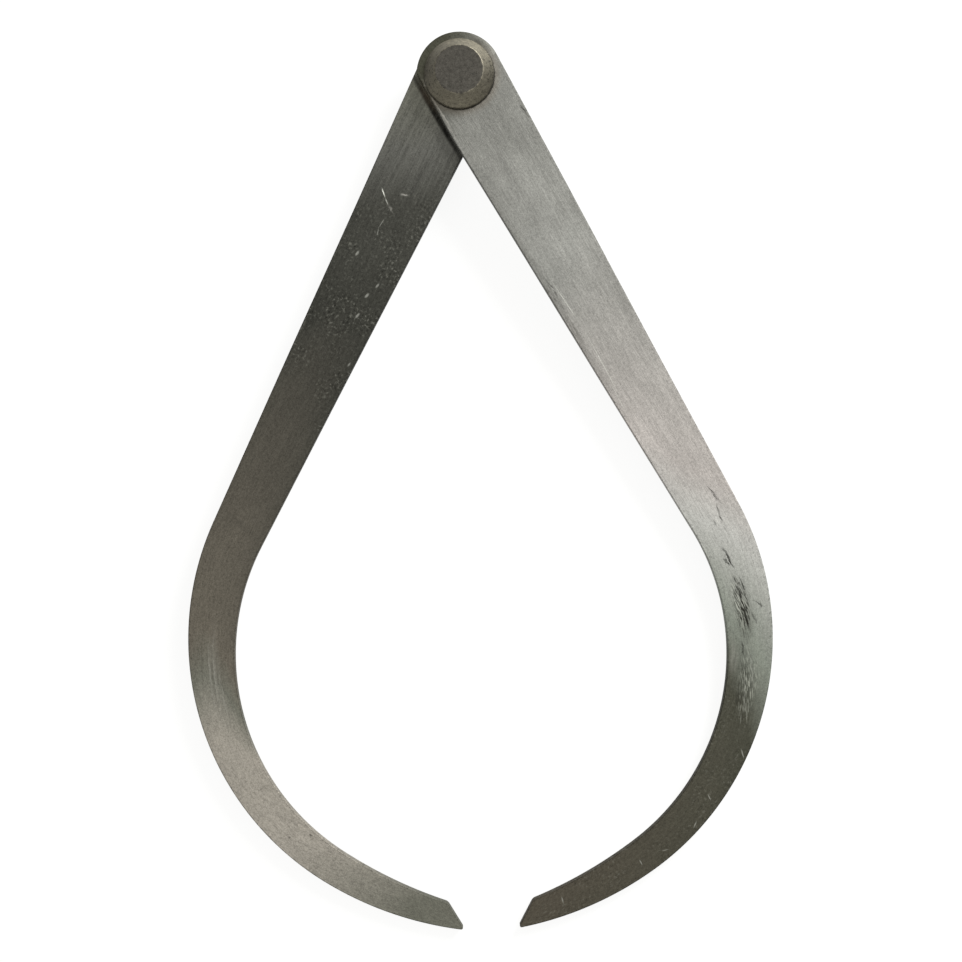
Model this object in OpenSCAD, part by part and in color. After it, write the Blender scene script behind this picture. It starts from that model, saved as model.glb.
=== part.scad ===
// Firm-joint outside caliper: two flat bowed steel legs that turn on a friction joint.
// The caliper lies on its back in the XY plane with its tips towards -Y. The joint turns about +Z,
// and the origin is on the joint axis at the back face of the nut.

/* [Legs] */
// Thickness of a leg
leg_t = 2.2; // [1.6:0.1:3.2]
// Radius of the round end about the joint
end_r = 10; // [9.4:0.1:11]
// Distance from the joint axis to the straight inner edge
inner_edge_offset = 9.2; // [8:0.1:9.3]
// Sideways distance from the joint axis to where the inner edge leaves the round end
root_offset = 8.4; // [8:0.1:9]
// Distance along a leg from the joint axis to where its inner edge becomes straight
root_l = 12; // [8:0.5:25]
// Distance along a leg from the joint axis to where its bow begins
straight_l = 120; // [95:0.5:140]
// Width of a leg where its bow begins
bow_start_w = 12.6; // [10.5:0.1:15]

/* [Bow] */
// Outer radius of the upper part of the bow
bow_r = 67; // [60:0.5:80]
// Angle that the upper part of the bow turns through
bow_sweep = 82.5; // [72:0.5:88]
// Outer radius of the lower part of the bow
lower_bow_r = 81; // [72:0.5:100]
// Angle that the lower part of the bow turns through, as far as the tip
lower_bow_sweep = 25; // [20:0.5:28]
// Width of a leg where the two parts of its bow meet
lower_bow_w = 8; // [6:0.1:10]

/* [Tips] */
// Length of the slanted end face of a tip
tip_face_l = 7.4; // [6.4:0.1:9]
// Angle between the end face and the straight part of the leg
tip_face_a = 59; // [50:1:65]
// Rounding of the measuring point
nose_r = 0.4; // [0.2:0.05:0.8]
// Rounding of the corner at the other end of the end face
tip_corner_r = 1.6; // [0.8:0.1:2.5]

/* [Set of the legs] */
// Distance from the joint axis to where a leg starts to bend over into the common plane
set_start = 27; // [25:0.5:40]
// Length over which a leg bends into the common plane
set_l = 60; // [40:1:80]

/* [Stud] */
// Radius of the round shank
shank_r = 3; // [2.5:0.05:3.4]
// How far the flats of the square neck stand out beyond the shank
neck_land = 0.2; // [0.1:0.05:0.5]
// Radius of the head where it lies on the front leg
head_r = 8.2; // [7.5:0.1:9]
// Radius of the flat top of the head
head_top_r = 5.6; // [4.5:0.1:6.5]
// Height of the head
head_h = 4.2; // [3:0.1:6]
// Height of the plain rim below the bevel of the head
head_rim_h = 0.8; // [0.4:0.1:1.5]
// Depth of the flat along the threaded end, which keys the rear plate
key_flat_d = 0.7; // [0.4:0.05:1]

/* [Washers, plate and nut] */
// Thickness of each friction washer
washer_t = 0.4; // [0.3:0.05:0.8]
// Outer radius of each friction washer
washer_r = 8.6; // [7:0.1:9]
// Outer radius of the rear plate
plate_r = 8.2; // [7:0.1:9]
// Radius of the flat back of the rear plate
plate_back_r = 6.6; // [6.4:0.1:6.9]
// Height of the rear plate
plate_h = 2; // [1.4:0.1:3]
// Height of the plain rim of the rear plate
plate_rim_h = 0.7; // [0.4:0.1:1]
// Width of the nut across its flats
nut_af = 10; // [8.5:0.1:10.5]
// Height of the nut
nut_h = 3.2; // [2.5:0.1:5]
// Slope of the chamfer on the corners of the nut
nut_chamfer_a = 30; // [20:1:40]
// Breaks on the turned edges
edge_break = 0.3; // [0.1:0.05:0.4]

/* [Fits] */
// Radial clearance of the shank in the rear leg
hinge_clearance = 0.05; // [0.02:0.01:0.1]
// Clearance of what turns with the stud
seat_clearance = 0.02; // [0.01:0.01:0.05]
// Play between the rear leg and the washer on each side of it
joint_play = 0.02; // [0.01:0.01:0.04]

/* [Opening] */
// Distance between the measuring points as the caliper lies
tip_gap = 13.4; // [0.1:0.1:60]

/* [Hidden] */
$fa = 2;
$fs = 0.3;

// Heights in the stack, from the back of the nut to the top of the head
plate_z = nut_h;
rear_washer_z = plate_z + plate_h;
rear_leg_z = rear_washer_z + washer_t + joint_play;
leg_washer_z = rear_leg_z + leg_t + joint_play;
front_leg_z = leg_washer_z + washer_t;
head_z = front_leg_z + leg_t;
top_z = head_z + head_h;
// Underside of both legs where they lie in their common plane
common_z = (rear_leg_z + front_leg_z) / 2;

// Seats on the stud
neck_w = 2 * (shank_r + neck_land);
seat_r = shank_r + seat_clearance;
hinge_bore_r = shank_r + hinge_clearance;
key_x = shank_r - key_flat_d;
// How far a cut runs past the faces that it opens
past = 1;

// A leg is drawn pointing along -Y with its inner side towards -X.
// This is a unit vector turned from +X towards -Y.
function along(a) = [cos(a), -sin(a)];

// Outer edge: tangent to the round end, straight, then two arcs that turn inwards
outer_start = [bow_start_w - inner_edge_offset, -straight_l];
taper_a = asin(end_r / norm(outer_start)) - atan2(outer_start[0], straight_l);
outer_root = end_r * along(taper_a);
bow_c = outer_start - bow_r * along(taper_a);
mid_a = taper_a + bow_sweep;
outer_mid = bow_c + bow_r * along(mid_a);
lower_bow_c = outer_mid - lower_bow_r * along(mid_a);
tip = lower_bow_c + lower_bow_r * along(mid_a + lower_bow_sweep);

// End face: from the tip back into the bow, with the metal on the side of face_n
face_dir = [sin(tip_face_a), cos(tip_face_a)];
face_n = [cos(tip_face_a), -sin(tip_face_a)];
tip_corner = tip + tip_face_l * face_dir;

// Inner edge: slanted across the round end, straight, then two arcs that follow the widths of the leg
inner_root = [-root_offset, sqrt(end_r * end_r - root_offset * root_offset)];
inner_knee = [-inner_edge_offset, -root_l];
inner_start = [-inner_edge_offset, -straight_l];
inner_mid = outer_mid - lower_bow_w * along(mid_a);
inner_run = inner_mid - inner_start;
inner_r = -(inner_run * inner_run) / (2 * inner_run[0]);
inner_c = inner_start - [inner_r, 0];
inner_mid_n = (inner_mid - inner_c) / inner_r;
lower_run = tip_corner - inner_mid;
lower_inner_r = -(lower_run * lower_run) / (2 * lower_run * inner_mid_n);
lower_inner_c = inner_mid - lower_inner_r * inner_mid_n;

// The line where the bow begins and the line where its parts meet cross here
bow_hub = outer_mid + (straight_l + outer_mid[1]) / sin(mid_a) * along(mid_a);

// How far to go from a point along the end face to be at distance d from the point c
function slide_to(from, c, d) =
    let (w = from - c, b = w * face_dir)
    -b - sqrt(b * b - w * w + d * d);

// Rounded measuring point
nose_from = tip + nose_r * face_n;
nose_c = nose_from + slide_to(nose_from, lower_bow_c, lower_bow_r - nose_r) * face_dir;
nose_edge = lower_bow_c + (nose_c - lower_bow_c) * lower_bow_r / (lower_bow_r - nose_r);

// Angle of each leg from the middle line of the caliper, which gives the points their distance
rest_half_angle = asin((nose_r + tip_gap / 2) / norm(nose_c)) - atan2(nose_c[0], -nose_c[1]);

// Rounded corner at the other end of the end face
corner_from = tip_corner + tip_corner_r * face_n;
corner_c = corner_from
    + slide_to(corner_from, lower_inner_c, lower_inner_r + tip_corner_r) * face_dir;
corner_edge = lower_inner_c
    + (corner_c - lower_inner_c) * lower_inner_r / (lower_inner_r + tip_corner_r);

// The legs bend by a smooth curve, taken in this many flats
set_flats = 12;
set_end_y = -straight_l - 2 * bow_r;
function ease(f) = f * f * (3 - 2 * f);

// The straight part laps into the bow, and the lower bow into the upper, in the middle of the width
lap = lower_bow_w / 2;

module straight_part() {
    lap_point = (outer_start + inner_start) / 2 - [0, lap];
    polygon([[0, 0], [-inner_edge_offset, 0], inner_start, lap_point, outer_start, outer_root]);
}

// A ring cut out of two discs, kept inside a window
module ring_part(outer_c, outer_r, hollow_c, hollow_r, window) {
    intersection() {
        difference() {
            translate(outer_c) circle(outer_r);
            translate(hollow_c) circle(hollow_r);
        }
        polygon(window);
    }
}

module upper_bow() {
    far = 2 * bow_r;
    ring_part(bow_c, bow_r, inner_c, inner_r, [
        bow_hub,
        bow_hub + far * along(mid_a),
        bow_hub + [far, 0] + far * along(mid_a),
        bow_hub + [far, 0]
    ]);
}

module lower_bow() {
    lap_point = (outer_mid + inner_mid) / 2 + lap * [sin(mid_a), cos(mid_a)];
    ring_part(lower_bow_c, lower_bow_r, lower_inner_c, lower_inner_r, [
        inner_mid - lower_bow_w * along(mid_a),
        tip_corner + tip_face_l * face_dir,
        tip - tip_face_l * face_dir,
        outer_mid + lower_bow_w * along(mid_a),
        outer_mid,
        lap_point,
        inner_mid
    ]);
}

// The side of the round end that its slanted edge cuts off
module root_cut() {
    above = inner_root + (inner_root - inner_knee) / 2;
    polygon([above, above - [2 * end_r, 0], inner_knee - [2 * end_r, 0], inner_knee]);
}

// The corner at p, outside a rounding about c that starts at edge and ends on the end face
module sharp_corner(p, c, edge, r) {
    polygon([c, edge, p + (p - c) / 2, c - r * face_n]);
}

module leg_outline() {
    difference() {
        union() {
            circle(end_r);
            straight_part();
            upper_bow();
            lower_bow();
        }
        root_cut();
        sharp_corner(tip, nose_c, nose_edge, nose_r);
        sharp_corner(tip_corner, corner_c, corner_edge, tip_corner_r);
    }
    translate(nose_c) circle(nose_r);
    translate(corner_c) circle(tip_corner_r);
}

// Side view of a leg, set over from the height z at the joint into the common plane
module set_profile(z) {
    curve = [for (i = [0:set_flats])
        let (f = i / set_flats) [-set_start - f * set_l, z + (common_z - z) * ease(f)]];
    back = concat([[end_r + past, z]], curve, [[set_end_y, common_z]]);
    front = [for (i = [len(back) - 1:-1:0]) back[i] + [0, leg_t]];
    polygon(concat(back, front));
}

// A leg whose underside is at z around the joint
module leg(z) {
    intersection() {
        linear_extrude(top_z) leg_outline();
        translate([set_end_y, 0, 0]) rotate([90, 0, 90]) linear_extrude(-2 * set_end_y) set_profile(z);
    }
}

module front_leg() {
    hole_w = neck_w + 2 * seat_clearance;
    color([0.62, 0.62, 0.59])
        rotate([0, 0, rest_half_angle]) difference() {
            leg(front_leg_z);
            translate([0, 0, head_z - leg_t / 2]) cube([hole_w, hole_w, leg_t + 2 * past], center = true);
        }
}

module rear_leg() {
    color([0.42, 0.42, 0.38])
        mirror([1, 0, 0]) rotate([0, 0, rest_half_angle]) difference() {
            leg(rear_leg_z);
            translate([0, 0, rear_leg_z - past]) cylinder(r = hinge_bore_r, h = leg_t + 2 * past);
        }
}

// The round shank below z, with the flat that keys the rear plate
module keyed_round(r, z, h) {
    difference() {
        translate([0, 0, z]) cylinder(r = r, h = h);
        translate([key_x + r - shank_r, -r - past, z - past]) cube([2 * r, 2 * (r + past), h + 2 * past]);
    }
}

module joint_stud() {
    color([0.4, 0.38, 0.36]) rotate([0, 0, rest_half_angle]) {
        translate([0, 0, head_z]) rotate_extrude() polygon([
            [0, 0],
            [head_r, 0],
            [head_r, head_rim_h],
            [head_top_r + edge_break, head_h - edge_break],
            [head_top_r, head_h],
            [0, head_h]
        ]);
        translate([0, 0, head_z - leg_t / 2]) cube([neck_w, neck_w, leg_t], center = true);
        translate([0, 0, rear_washer_z]) cylinder(r = shank_r, h = front_leg_z - rear_washer_z);
        keyed_round(shank_r, 0, rear_washer_z);
    }
}

// A friction washer that lies on z
module friction_washer(z) {
    color([0.66, 0.52, 0.3]) translate([0, 0, z]) difference() {
        cylinder(r = washer_r, h = washer_t);
        translate([0, 0, -past]) cylinder(r = seat_r, h = washer_t + 2 * past);
    }
}

module leg_washer() {
    friction_washer(leg_washer_z);
}

module rear_friction_washer() {
    friction_washer(rear_washer_z);
}

module rear_plate() {
    color([0.45, 0.43, 0.41]) rotate([0, 0, rest_half_angle]) difference() {
        translate([0, 0, plate_z]) rotate_extrude() polygon([
            [0, 0],
            [plate_back_r, 0],
            [plate_r, plate_h - plate_rim_h],
            [plate_r, plate_h],
            [0, plate_h]
        ]);
        keyed_round(seat_r, plate_z - past, plate_h + 2 * past);
    }
}

module joint_nut() {
    corner_r = nut_af / 2 / cos(30);
    chamfer_h = (corner_r - nut_af / 2 + edge_break) * tan(nut_chamfer_a);
    color([0.5, 0.49, 0.47]) rotate([0, 0, rest_half_angle]) difference() {
        intersection() {
            cylinder(r = corner_r, h = nut_h, $fn = 6);
            rotate_extrude() polygon([
                [0, 0],
                [nut_af / 2 - edge_break, 0],
                [corner_r, chamfer_h],
                [corner_r, nut_h],
                [0, nut_h]
            ]);
        }
        translate([0, 0, -past]) cylinder(r = seat_r, h = nut_h + 2 * past);
    }
}

front_leg();
rear_leg();
joint_stud();
leg_washer();
rear_friction_washer();
rear_plate();
joint_nut();
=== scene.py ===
"""A firm-joint outside caliper: two brushed steel legs, a bevelled joint and a plain studio.

Sizes are in millimetres, and each mesh is written in metres. A leg is drawn pointing along -Y
with its inner side towards -X, and is then turned into its place about the joint axis.
"""

from __future__ import annotations

import functools
import logging
import math
from dataclasses import dataclass, field
from enum import Enum

import bmesh
import bpy
import numpy as np
from mathutils import Matrix, Vector

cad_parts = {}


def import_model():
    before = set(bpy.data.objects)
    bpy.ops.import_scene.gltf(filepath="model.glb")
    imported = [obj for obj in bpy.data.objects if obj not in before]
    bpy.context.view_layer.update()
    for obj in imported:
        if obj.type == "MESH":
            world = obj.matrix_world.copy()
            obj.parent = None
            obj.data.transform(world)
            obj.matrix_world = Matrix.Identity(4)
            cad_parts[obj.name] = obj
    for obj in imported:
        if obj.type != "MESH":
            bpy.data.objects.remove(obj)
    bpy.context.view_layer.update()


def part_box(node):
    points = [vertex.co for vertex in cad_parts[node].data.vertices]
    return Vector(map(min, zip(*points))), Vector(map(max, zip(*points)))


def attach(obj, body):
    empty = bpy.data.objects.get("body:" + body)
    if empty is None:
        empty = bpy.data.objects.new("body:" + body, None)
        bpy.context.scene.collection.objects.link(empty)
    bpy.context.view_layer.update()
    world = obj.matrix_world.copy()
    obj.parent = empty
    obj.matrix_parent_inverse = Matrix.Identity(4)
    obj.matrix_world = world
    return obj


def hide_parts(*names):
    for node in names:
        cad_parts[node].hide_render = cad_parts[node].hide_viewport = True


MM = 0.001
LOG = logging.getLogger("caliper")

Colour = tuple[float, float, float]
Corner = tuple[float, float, float]
Pair = tuple[float, float]

# How many points round one corner of a profile.
ROUNDING_POINTS = 6
# Points nearer to one another than this are merged. In metres, like the meshes.
MERGE_DISTANCE = 1e-7
# The least cosine by which a key's distance is divided, so that its flat ends at the sides.
LEAST_COSINE = 0.1
# The legs' holes: half the width of the square one and the radius of the round one.
SQUARE_HALF_WIDTH = 3.22
ROUND_HOLE_R = 3.05
# How far from the joint axis the nut's flat back reaches.
NUT_FACE_R = 4.7
# The numbers of a Mix node's two colour inputs, whose names it shares with its other inputs.
MIX_COLOURS = (6, 7)


def along(angle: float | np.ndarray) -> np.ndarray:
    """Unit vectors turned from +X towards -Y.

    Args:
        angle: The turn in degrees, one or many.

    Returns:
        The pair (cos a, -sin a) for each angle a.
    """
    a = np.radians(angle)
    return np.stack([np.cos(a), -np.sin(a)], axis=-1)


def seen(red: float, green: float, blue: float) -> Colour:
    """The linear colour of a tone that a picture shows as 0-255 values."""
    return tuple(((v / 255 + 0.055) / 1.055) ** 2.4 for v in (red, green, blue))


def rounded(corners: list[Corner], closed: bool, step: float) -> np.ndarray:
    """Rounds the corners of a profile and divides its long runs.

    A corner q turns into the curve (1 - f)^2 a + 2 f (1 - f) q + f^2 b, where a and b lie on its
    two runs at the rounding's distance from q.

    Args:
        corners: The radius, the height and the rounding of each corner.
        closed: Whether the profile comes back to its first corner.
        step: The longest run between two points.

    Returns:
        The radius and the height of each point.
    """
    table = np.array(corners)
    q, size = table[:, :2], table[:, 2:]
    back, ahead = (np.roll(q, turn, axis=0) - q for turn in (1, -1))
    a = q + back / np.hypot(*back.T)[:, None] * size
    b = q + ahead / np.hypot(*ahead.T)[:, None] * size
    f = np.linspace(0, 1, ROUNDING_POINTS)[None, :, None]
    curve = (1 - f) ** 2 * a[:, None] + 2 * f * (1 - f) * q[:, None] + f**2 * b[:, None]
    points = curve.reshape(-1, 2)
    if closed:
        points = np.vstack([points, points[:1]])
    walked = np.concatenate([[0.0], np.cumsum(np.hypot(*np.diff(points, axis=0).T))])
    spots = np.union1d(walked, np.linspace(0, walked[-1], int(walked[-1] / step) + 2))
    if closed:
        spots = spots[:-1]
    return np.stack([np.interp(spots, walked, points[:, k]) for k in range(2)], axis=-1)


def bearing(vector: np.ndarray) -> float:
    """The angle in degrees for which along() gives the direction of a vector."""
    return math.degrees(math.atan2(-vector[1], vector[0]))


def ease(f: np.ndarray) -> np.ndarray:
    """A smooth step, 3 f squared less 2 f cubed, of a share held between 0 and 1."""
    f = np.clip(f, 0.0, 1.0)
    return f * f * (3 - 2 * f)


class Side(Enum):
    """Which side of the caliper a leg lies on, as the factor of its X."""

    RIGHT = 1.0
    LEFT = -1.0


class Hole(Enum):
    """The form of the hole in a leg's round end."""

    SQUARE = "square"
    ROUND = "round"


@dataclass(frozen=True)
class Texture:
    """A noise in the metal.

    Attributes:
        scale: How fine it is along the piece, across it and in depth.
        detail: How many finer layers it has.
        rough: How strongly they show.
        slant: How far its lines run to the inner side for each millimetre along the leg.
        limits: The values from which to which it shows, where it makes spots.
    """

    scale: tuple[float, float, float]
    detail: float
    rough: float
    slant: float = 0.0
    limits: Pair = (0.0, 1.0)


class Metal(Enum):
    """The noises in the metal of the legs."""

    HAIR = Texture((0.4, 3.6, 3.6), 3.0, 0.6)
    BRUSH = Texture((0.12, 1.6, 1.6), 4.0, 0.6)
    GRIT = Texture((1.7, 1.7, 1.7), 4.0, 0.7)
    GRAIN = Texture((4.0, 4.0, 4.0), 2.0, 0.6)
    CLOUD = Texture((0.07, 0.16, 0.3), 3.0, 0.55)
    HATCH = Texture((0.5, 4.0, 1.0), 2.0, 0.6, slant=-0.22)
    LINES = Texture((0.045, 1.5, 1.0), 3.0, 0.65)
    RIPPLES = Texture((0.4, 1.6, 1.0), 3.0, 0.6, slant=0.5, limits=(0.5, 0.36))
    PITS = Texture((1.9, 1.9, 1.9), 2.0, 0.6, limits=(0.55, 0.64))
    PATCHES = Texture((0.14, 0.14, 0.14), 2.0, 0.5, limits=(0.4, 0.6))
    DARK_SPECKS = Texture((1.4, 1.4, 1.4), 3.0, 0.6, limits=(0.47, 0.36))
    LIGHT_SPECKS = Texture((1.4, 1.4, 1.4), 3.0, 0.6, limits=(0.54, 0.68))


class TurnedMetal(Enum):
    """The noises in the metal of the turned pieces. Rings take the distance from the axis."""

    RINGS = Texture((2.4, 2.4, 2.4), 4.0, 0.6)
    MOTTLE = Texture((1.1, 1.1, 1.1), 5.0, 0.62)
    GRIT = Texture((3.6, 3.6, 3.6), 3.0, 0.6)
    DIRT = Texture((1.7, 1.7, 1.7), 3.0, 0.6, limits=(0.56, 0.64))


# How strongly the noises show in the tone, the relief and the roughness of the metal.
TURNED_TONE_NOISES = {TurnedMetal.MOTTLE: 0.6, TurnedMetal.GRIT: 0.7}
TURNED_RELIEF_NOISES = {TurnedMetal.MOTTLE: 0.9, TurnedMetal.GRIT: 0.6}
TURNED_ROUGH_NOISES = {TurnedMetal.MOTTLE: 0.3}
TONE_NOISES = {
    Metal.HAIR: 0.5,
    Metal.BRUSH: 0.25,
    Metal.GRIT: 0.9,
    Metal.GRAIN: 1.0,
    Metal.CLOUD: 0.1,
}
RELIEF_NOISES = {Metal.HAIR: 0.8, Metal.BRUSH: 0.9, Metal.GRIT: 0.5}
ROUGH_NOISES = {Metal.CLOUD: 0.25, Metal.BRUSH: 0.15}


@dataclass(frozen=True)
class MarkLook:
    """How a kind of mark looks.

    Attributes:
        colour: Its colour.
        relief: How far it stands out of the metal.
        sharpness: How sharp its edge is.
        wander: How far it wanders from its line, in millimetres.
        gaps: How much the metal's noise breaks it up.
        grain: The noise that breaks it.
        limits: The values of that noise at which the mark is broken and at which it is whole.
    """

    colour: Colour
    relief: float
    sharpness: float
    wander: float
    gaps: float
    grain: Metal = Metal.BRUSH
    limits: Pair = (0.4, 0.56)


class Mark(Enum):
    """The kinds of mark in the face of a leg, painted shadow and painted sheen among them."""

    CRACK = MarkLook(seen(34, 33, 30), -0.6, 0.4, 1.0, 0.55, Metal.HATCH, (0.42, 0.52))
    CRAZE = MarkLook(seen(46, 46, 41), -0.3, 0.2, 1.0, 1.0, Metal.HATCH, (0.5, 0.57))
    GLINT = MarkLook(seen(194, 196, 184), 0.0, 0.2, 1.0, 1.0, Metal.HATCH, (0.45, 0.38))
    STAIN = MarkLook(seen(62, 60, 54), 0.0, 0.0, 1.2, 0.75)
    # Painted shadow: near-black, for the band that the front leg casts on the rear leg and for the contact
    # shadow round the seat.
    PAINTED_SHADOW = MarkLook(seen(20, 19, 17), 0.0, 0.25, 0.15, 0.15)
    # Painted sheen: lighter patches and streaks, and a painted highlight on the lit inner edge of the
    # front leg.
    PAINTED_SHEEN = MarkLook(seen(176, 174, 166), 0.0, 0.0, 1.2, 0.7)
    SCRATCH = MarkLook(seen(190, 191, 182), -1.2, 0.3, 0.25, 0.2)


@dataclass(frozen=True)
class Stroke:
    """One mark on the front of a leg.

    Attributes:
        start: Where it starts, as distance along the leg and distance across it.
        end: Where it ends.
        half_width: Half its width.
        strength: How fully it shows.
    """

    start: Pair
    end: Pair
    half_width: float
    strength: float


@dataclass
class Skin:
    """Gathers grids of points and the quads between them, and makes them one mesh.

    Each point carries its run, which is distance along the piece, distance across it and depth,
    and its rim, which is the distance from the outline. Both are in millimetres. The finishes
    read them, so that a pattern follows the metal.

    An edge whose faces meet at more than sharp_angle degrees stays sharp.
    """

    points: list[np.ndarray] = field(default_factory=list)
    runs: list[np.ndarray] = field(default_factory=list)
    rims: list[np.ndarray] = field(default_factory=list)
    quads: list[np.ndarray] = field(default_factory=list)
    count: int = 0
    sharp_angle: float = 35.0

    def add(self, points: np.ndarray, runs: np.ndarray, rims: np.ndarray | float = 0.0) -> np.ndarray:
        """Adds a grid of points.

        Args:
            points: Positions in millimetres, with the three coordinates last.
            runs: The run of each point, in the same shape.
            rims: The distance of each point from the outline.

        Returns:
            The index of each point, in the shape of the grid.
        """
        shape = points.shape[:-1]
        ids = self.count + np.arange(int(np.prod(shape))).reshape(shape)
        self.points.append(points.reshape(-1, 3))
        self.runs.append(runs.reshape(-1, 3))
        self.rims.append(np.broadcast_to(rims, shape).ravel())
        self.count += ids.size
        return ids

    def cover(self, ids: np.ndarray, close_rows: bool = False, close_columns: bool = False) -> None:
        """Lays quads over a grid of indices.

        Args:
            ids: The indices, in rows and columns.
            close_rows: Whether the last row joins the first.
            close_columns: Whether the last column joins the first.
        """
        if close_rows:
            ids = np.vstack([ids, ids[:1]])
        if close_columns:
            ids = np.hstack([ids, ids[:, :1]])
        corners = (ids[:-1, :-1], ids[:-1, 1:], ids[1:, 1:], ids[1:, :-1])
        self.quads.append(np.stack(corners, axis=-1).reshape(-1, 4))

    def build(self, name: str, material: bpy.types.Material) -> bpy.types.Object:
        """Makes the object, with doubles merged, faces outwards and smooth shading.

        Args:
            name: The name of the object and of its mesh.
            material: Its material.

        Returns:
            The object, linked into the scene.
        """
        mesh = bpy.data.meshes.new(name)
        points = np.concatenate(self.points) * MM
        mesh.from_pydata(points, [], np.concatenate(self.quads))
        run = mesh.attributes.new("run", "FLOAT_VECTOR", "POINT")
        run.data.foreach_set("vector", np.concatenate(self.runs).astype(np.float32).ravel())
        rim = mesh.attributes.new("rim", "FLOAT", "POINT")
        rim.data.foreach_set("value", np.concatenate(self.rims).astype(np.float32))
        form = bmesh.new()
        form.from_mesh(mesh)
        bmesh.ops.remove_doubles(form, verts=form.verts, dist=MERGE_DISTANCE)
        bmesh.ops.dissolve_degenerate(form, edges=form.edges, dist=MERGE_DISTANCE)
        bmesh.ops.recalc_face_normals(form, faces=form.faces)
        form.to_mesh(mesh)
        form.free()
        mesh.shade_smooth()
        mesh.set_sharp_from_angle(angle=math.radians(self.sharp_angle))
        mesh.materials.append(material)
        piece = bpy.data.objects.new(name, mesh)
        bpy.context.scene.collection.objects.link(piece)
        return piece


@dataclass
class LegShape:
    """The outline of a leg and how it is set over into the common plane.

    The sizes are those of the real piece. An offset is measured across the leg from the joint
    axis, a start or a length along it, and an angle or a sweep in degrees. The tangent points,
    the centres of the arcs and the angle at rest are worked out from them once.
    """

    thickness: float = 2.2
    end_r: float = 10.0
    inner_edge_offset: float = 9.2
    root_offset: float = 8.4
    root_length: float = 12.0
    straight_length: float = 120.0
    bow_start_width: float = 12.6
    bow_r: float = 67.0
    bow_sweep: float = 82.5
    lower_bow_r: float = 81.0
    lower_bow_sweep: float = 25.0
    lower_bow_width: float = 8.0
    tip_face_length: float = 7.4
    tip_face_angle: float = 59.0
    nose_r: float = 0.4
    tip_corner_r: float = 1.6
    set_start: float = 27.0
    set_length: float = 60.0
    tip_gap: float = 13.4

    def __post_init__(self) -> None:
        """Works out the tangent points, the centres of the arcs and the angle at rest."""
        self.outer_start = np.array(
            [self.bow_start_width - self.inner_edge_offset, -self.straight_length]
        )
        reach = float(np.hypot(*self.outer_start))
        self.taper = math.degrees(math.asin(self.end_r / reach)) + bearing(self.outer_start) - 90
        self.outer_root = self.end_r * along(self.taper)
        self.bow_c = self.outer_start - self.bow_r * along(self.taper)
        self.mid_angle = self.taper + self.bow_sweep
        outer_mid = self.bow_c + self.bow_r * along(self.mid_angle)
        self.lower_bow_c = outer_mid - self.lower_bow_r * along(self.mid_angle)
        tip = self.lower_bow_c + self.lower_bow_r * along(self.mid_angle + self.lower_bow_sweep)
        face = math.radians(self.tip_face_angle)
        self.face_dir = np.array([math.sin(face), math.cos(face)])
        self.face_n = np.array([math.cos(face), -math.sin(face)])
        tip_corner = tip + self.tip_face_length * self.face_dir

        self.inner_root = np.array([-self.root_offset, math.sqrt(self.end_r**2 - self.root_offset**2)])
        self.inner_knee = np.array([-self.inner_edge_offset, -self.root_length])
        slant = self.inner_root - self.inner_knee
        self.root_n = np.array([-slant[1], slant[0]]) / float(np.hypot(*slant))
        self.inner_start = np.array([-self.inner_edge_offset, -self.straight_length])
        inner_mid = outer_mid - self.lower_bow_width * along(self.mid_angle)
        run = inner_mid - self.inner_start
        self.inner_r = -(run @ run) / (2 * run[0])
        self.inner_c = self.inner_start - np.array([self.inner_r, 0.0])
        normal = (inner_mid - self.inner_c) / self.inner_r
        self.inner_mid_angle = bearing(normal)
        run = tip_corner - inner_mid
        self.lower_inner_r = -(run @ run) / (2 * run @ normal)
        self.lower_inner_c = inner_mid - self.lower_inner_r * normal

        start = tip + self.nose_r * self.face_n
        self.nose_c = self.slide(start, self.lower_bow_c, self.lower_bow_r - self.nose_r)
        start = tip_corner + self.tip_corner_r * self.face_n
        self.corner_c = self.slide(start, self.lower_inner_c, self.lower_inner_r + self.tip_corner_r)
        nose_reach = float(np.hypot(*self.nose_c))
        opening = math.asin((self.nose_r + self.tip_gap / 2) / nose_reach)
        self.rest_half_angle = math.degrees(opening - math.atan2(self.nose_c[0], -self.nose_c[1]))

    def slide(self, start: np.ndarray, centre: np.ndarray, distance: float) -> np.ndarray:
        """Goes from a point along the end face until it lies at a distance from a centre.

        Args:
            start: The point.
            centre: The centre.
            distance: The distance.

        Returns:
            start + t face_dir, with t the lower root of |start + t face_dir - centre| = distance.
        """
        w = start - centre
        b = float(w @ self.face_dir)
        return start + (-b - math.sqrt(b * b - float(w @ w) + distance**2)) * self.face_dir

    def back_height(self, y: np.ndarray, joint_z: float, bow_z: float) -> np.ndarray:
        """Height of the back of a leg: joint_z round the joint, eased over to bow_z.

        Args:
            y: How far each point lies from the joint axis along +Y of the flat leg.
            joint_z: Height of the back round the joint.
            bow_z: Height of the back in the common plane.

        Returns:
            The height at each point.
        """
        return joint_z + (bow_z - joint_z) * ease((-y - self.set_start) / self.set_length)


@dataclass
class Rows:
    """Stations along a leg.

    Attributes:
        outer: The points of the outer edge.
        outer_n: Their outward normals.
        inner: The points of the inner edge.
        inner_n: Their outward normals.
        distance: The distance along the leg.
    """

    outer: np.ndarray
    outer_n: np.ndarray
    inner: np.ndarray
    inner_n: np.ndarray
    distance: np.ndarray


@dataclass
class Patch:
    """A part of a leg's face.

    Attributes:
        flat: Its points on the flat leg, in a grid or in a row.
        run: The distance along the leg and across it of each point.
        rim: How far each point lies from the outline.
    """

    flat: np.ndarray
    run: np.ndarray
    rim: np.ndarray


def hole_side(grid: np.ndarray, cap: np.ndarray) -> np.ndarray:
    """The border that a leg's grid and its round end share with the rings round the hole."""
    return np.concatenate([grid[:1, -1], cap, grid[0, :-1]])


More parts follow.
